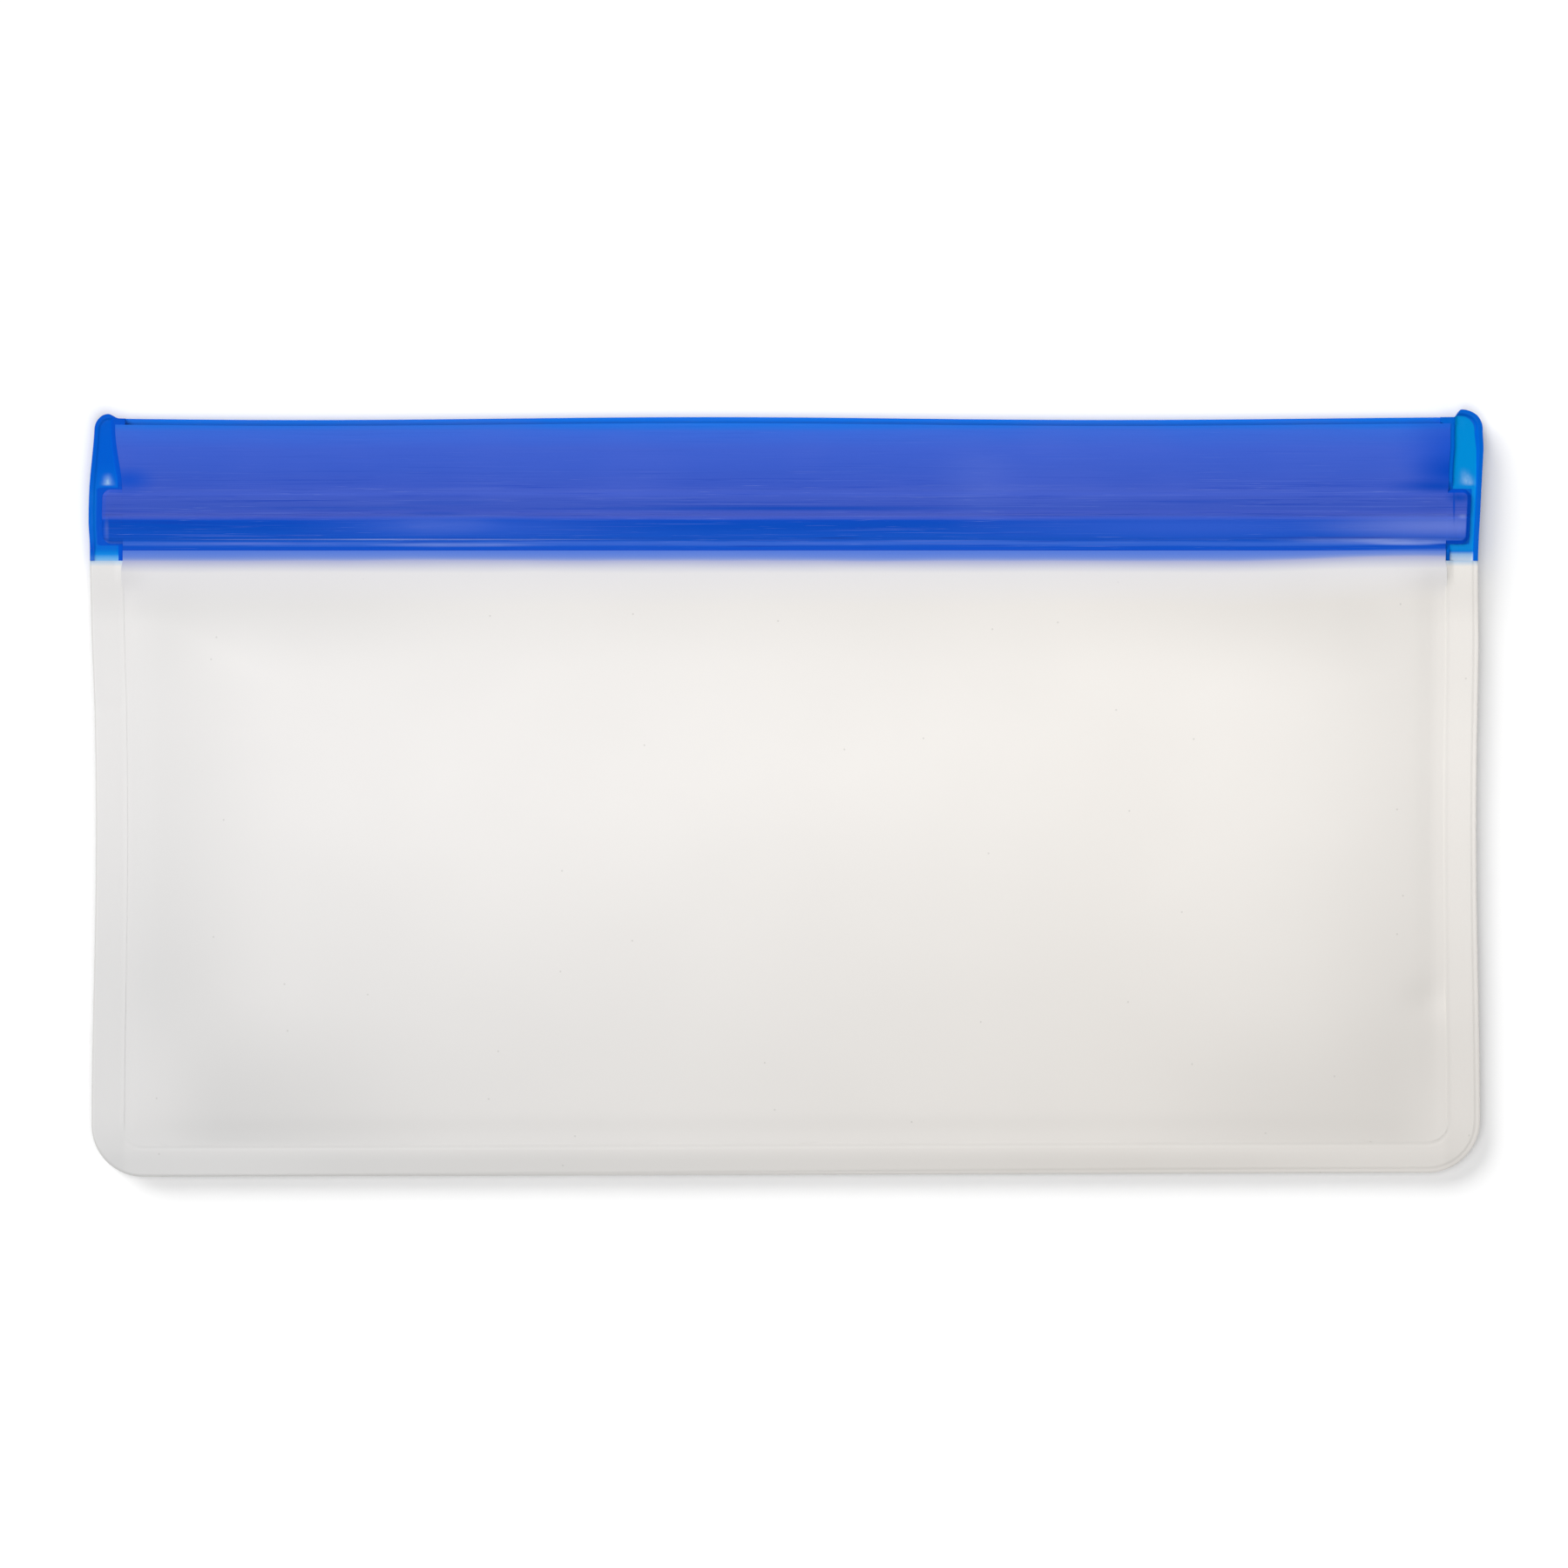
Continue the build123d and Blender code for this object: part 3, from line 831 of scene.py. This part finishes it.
def end_tab(side, name, finish, node):
    """One fused end of the band: pressed thin, with flash round its edges and an ear above the lips."""
    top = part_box(node)[1].y
    radius = ear_radius(side)
    relief = 0.15 * MM if side < 0 else 0.35 * MM

    def plan(u, v):
        y = mix(foot_y, top, v)
        inner = band_end(side, min(y, rear_lip_y)) - 0.25 * MM
        inner -= 1.3 * MM * smooth(y, front_lip_y - 0.3 * MM, front_lip_y + 0.3 * MM)
        x = mix(inner, half_width, u)
        dx, dy = x - (half_width - radius), y - (top - radius)
        if dx > 0 and dy > 0:
            dx, dy = corner_round(dx, dy)
            x, y = half_width - radius + dx, top - radius + dy
        shoulder = smooth(x, weld_x + 1.0 * MM, weld_x + (3.0 if side < 0 else 2.1) * MM)
        y -= (top - rear_lip_y) * (1 - shoulder) * smooth(v, 0.9, 1.0)
        return x, y

    def place(u, v):
        x, y = plan(u, v)
        z = parting_z + tape_outer - 0.24 * MM - relief * (1 - flash(side, x, y, top)[1])
        z -= lip_droop(y) * 0.9
        squeeze = 0.45 * MM * u * smooth(y, upper_high.y, front_lip_y) * (1 if side > 0 else -0.6)
        return settle((side * (x + squeeze), y, z))

    def depth(x, y):
        return flash(side, unbowed(x, y), y, top)[0]

    def glint(x, y):
        """Where the pressed face catches the lamp, just above the crushed tracks."""
        left_glint, right_glint = (3.4, 2.3, 2.6, 0.7, 0.75), (4.6, 3.2, 2.1, 0.9, 0.5)
        reach, near, far, width, strength = right_glint if side > 0 else left_glint
        along = (y - stop_high.y - 0.5 * MM) / (reach * MM)
        middle = unbowed(x, y) - (weld_x + mix(near, far, along) * MM)
        spread = mix(width, 0.35, along) * MM
        inside = smooth(along, 0.0, 0.12) * (1 - smooth(along, 0.1, 0.7))
        return strength * inside * math.exp(-((middle / spread) ** 2)) * (1 - depth(x, y))

    bm = grid(44, 170, place)
    if side < 0:
        bmesh.ops.reverse_faces(bm, faces=bm.faces[:])
    close_below(bm, lambda co: parting_z - tape_outer)
    made = piece(name, bm, finish, "clear_blue_weld", node)
    graded(made, "flash", depth)
    graded(made, "glint", glint)
    graded(made, "across", lambda x, y: (y - foot_y) / MM)
    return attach(made, "rear_wall")


def track_end(side, name, node):
    """The crushed ends of both tracks, run on from the band into the end weld and rounded outside."""
    low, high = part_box(node)
    reach = stop_end(side) - weld_x
    middle_y, half_y = (low.y + high.y) / 2, (high.y - low.y) / 2
    round_off = 1.3 * MM

    def plan(u, v):
        x = mix(-0.2 * MM, reach, u)
        dy = half_y * (2 * v - 1)
        cx, cy = x - (reach - round_off), abs(dy) - (half_y - round_off)
        if cx > 0 and cy > 0:
            cx, cy = corner_round(cx, cy)
            x = reach - round_off + cx
            dy = math.copysign(half_y - round_off + cy, dy)
        return x, dy

    def to_outline(x, dy):
        cx, cy = x - (reach - round_off), abs(dy) - (half_y - round_off)
        if cx > 0 and cy > 0:
            return round_off - math.hypot(cx, cy)
        return min(reach - x, half_y - abs(dy))

    def place(u, v):
        x, dy = plan(u, v)
        y = middle_y + dy
        fall = 0.22 * MM * (1 - smooth(to_outline(x, dy), 0.0, 0.55 * MM))
        crush = 0.05 * MM * smooth(x, 0.6 * MM, 2 * MM) * soft_noise(x, y, 1.1 * MM, 2.0 + side)
        under = 0.06 * MM * smooth(-x, 0.0, 0.15 * MM)
        return settle((side * (weld_x + x), y, parting_z + band_top(weld_x, y) - fall - under + crush))

    bm = grid(40, 84, place)
    if side < 0:
        bmesh.ops.reverse_faces(bm, faces=bm.faces[:])
    close_below(bm, lambda co: parting_z - tape_outer + 0.1 * MM)
    made = piece(name, bm, tape_finish, "blue_track", node)
    graded(made, "across", across)
    graded(made, "drawn_y", flat_height)

    def outline(x, y):
        depth = 1 - smooth(to_outline(unbowed(x, y) - weld_x, y - middle_y), 0.4 * MM, 0.7 * MM)
        return depth if side > 0 else 0.25 * depth

    graded(made, "rim", outline)
    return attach(made, "rear_wall")


front_film()
rear_film()
welded_rim()
front_band()
rear_band()
channel("front_upper_channel", "upper_channel")
channel("front_lower_channel", "lower_channel")
end_tab(-1, "left_end_tab", left_melt, "left_end_weld")
end_tab(1, "right_end_tab", right_melt, "right_end_weld")
track_end(-1, "left_crushed_tracks", "left_track_stop")
track_end(1, "right_crushed_tracks", "right_track_stop")
for rib in ("rear_upper_rib", "rear_lower_rib"):
    rib_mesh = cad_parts[rib].data
    rib_mesh.materials.clear()
    rib_mesh.materials.append(rib_finish)


# ------------------------------------------------------------ table, light, camera
def table_top():
    bm = bmesh.new()
    bmesh.ops.create_grid(bm, x_segments=1, y_segments=1, size=1.5)
    made, tree, shader, place = finish_of("white table", 0.8, 0.1)
    shader.inputs["Emission Color"].default_value = white
    shader.inputs["Emission Strength"].default_value = 0.08
    tone = ranged(tree, cloud(tree, place, (60, 60, 60)), 0.3, 0.7, 0.0, 1.0)
    ground = blended(tree, tone, (0.9, 0.9, 0.9, 1), (0.92, 0.92, 0.92, 1))
    tree.links.new(ground, shader.inputs["Base Color"])
    mesh = bpy.data.meshes.new("table_top")
    bm.to_mesh(mesh)
    bm.free()
    mesh.materials.append(made)
    top = bpy.data.objects.new("table_top", mesh)
    scene.collection.objects.link(top)


def lamp(name, kind, energy, direction, distance=1.0, size=0.3, angle=0.5):
    data = bpy.data.lights.new(name, kind)
    data.energy = energy
    if kind == "AREA":
        data.size = size
    if kind == "SUN":
        data.angle = angle
    made = bpy.data.objects.new(name, data)
    scene.collection.objects.link(made)
    made.location = Vector(direction).normalized() * distance
    made.rotation_euler = Vector(direction).to_track_quat("Z", "Y").to_euler()


table_top()
lamp("key", "SUN", 2.82, (-0.78, 0.80, 0.63), angle=math.radians(46))
lamp("fill", "SUN", 0.5, (0.65, -0.75, 0.65), angle=math.radians(60))
lamp("soft_box", "AREA", 1.6, (0.0, -0.08, 0.7), distance=0.6, size=0.3)

world = bpy.data.worlds.new("studio")
world.use_nodes = True
world.node_tree.nodes["Background"].inputs["Color"].default_value = (1, 1, 1, 1)
world.node_tree.nodes["Background"].inputs["Strength"].default_value = 0.23
scene.world = world
scene.view_settings.view_transform = "Standard"

lens, sensor, view_width = 200.0, 36.0, 248.8 * MM
camera_data = bpy.data.cameras.new("camera")
camera_data.lens = lens
camera_data.sensor_width = sensor
camera_data.clip_end = 20  # metres
camera = bpy.data.objects.new("camera", camera_data)
scene.collection.objects.link(camera)
camera.location = (-0.1 * MM, 1.4 * MM, parting_z + view_width * lens / sensor)
scene.camera = camera
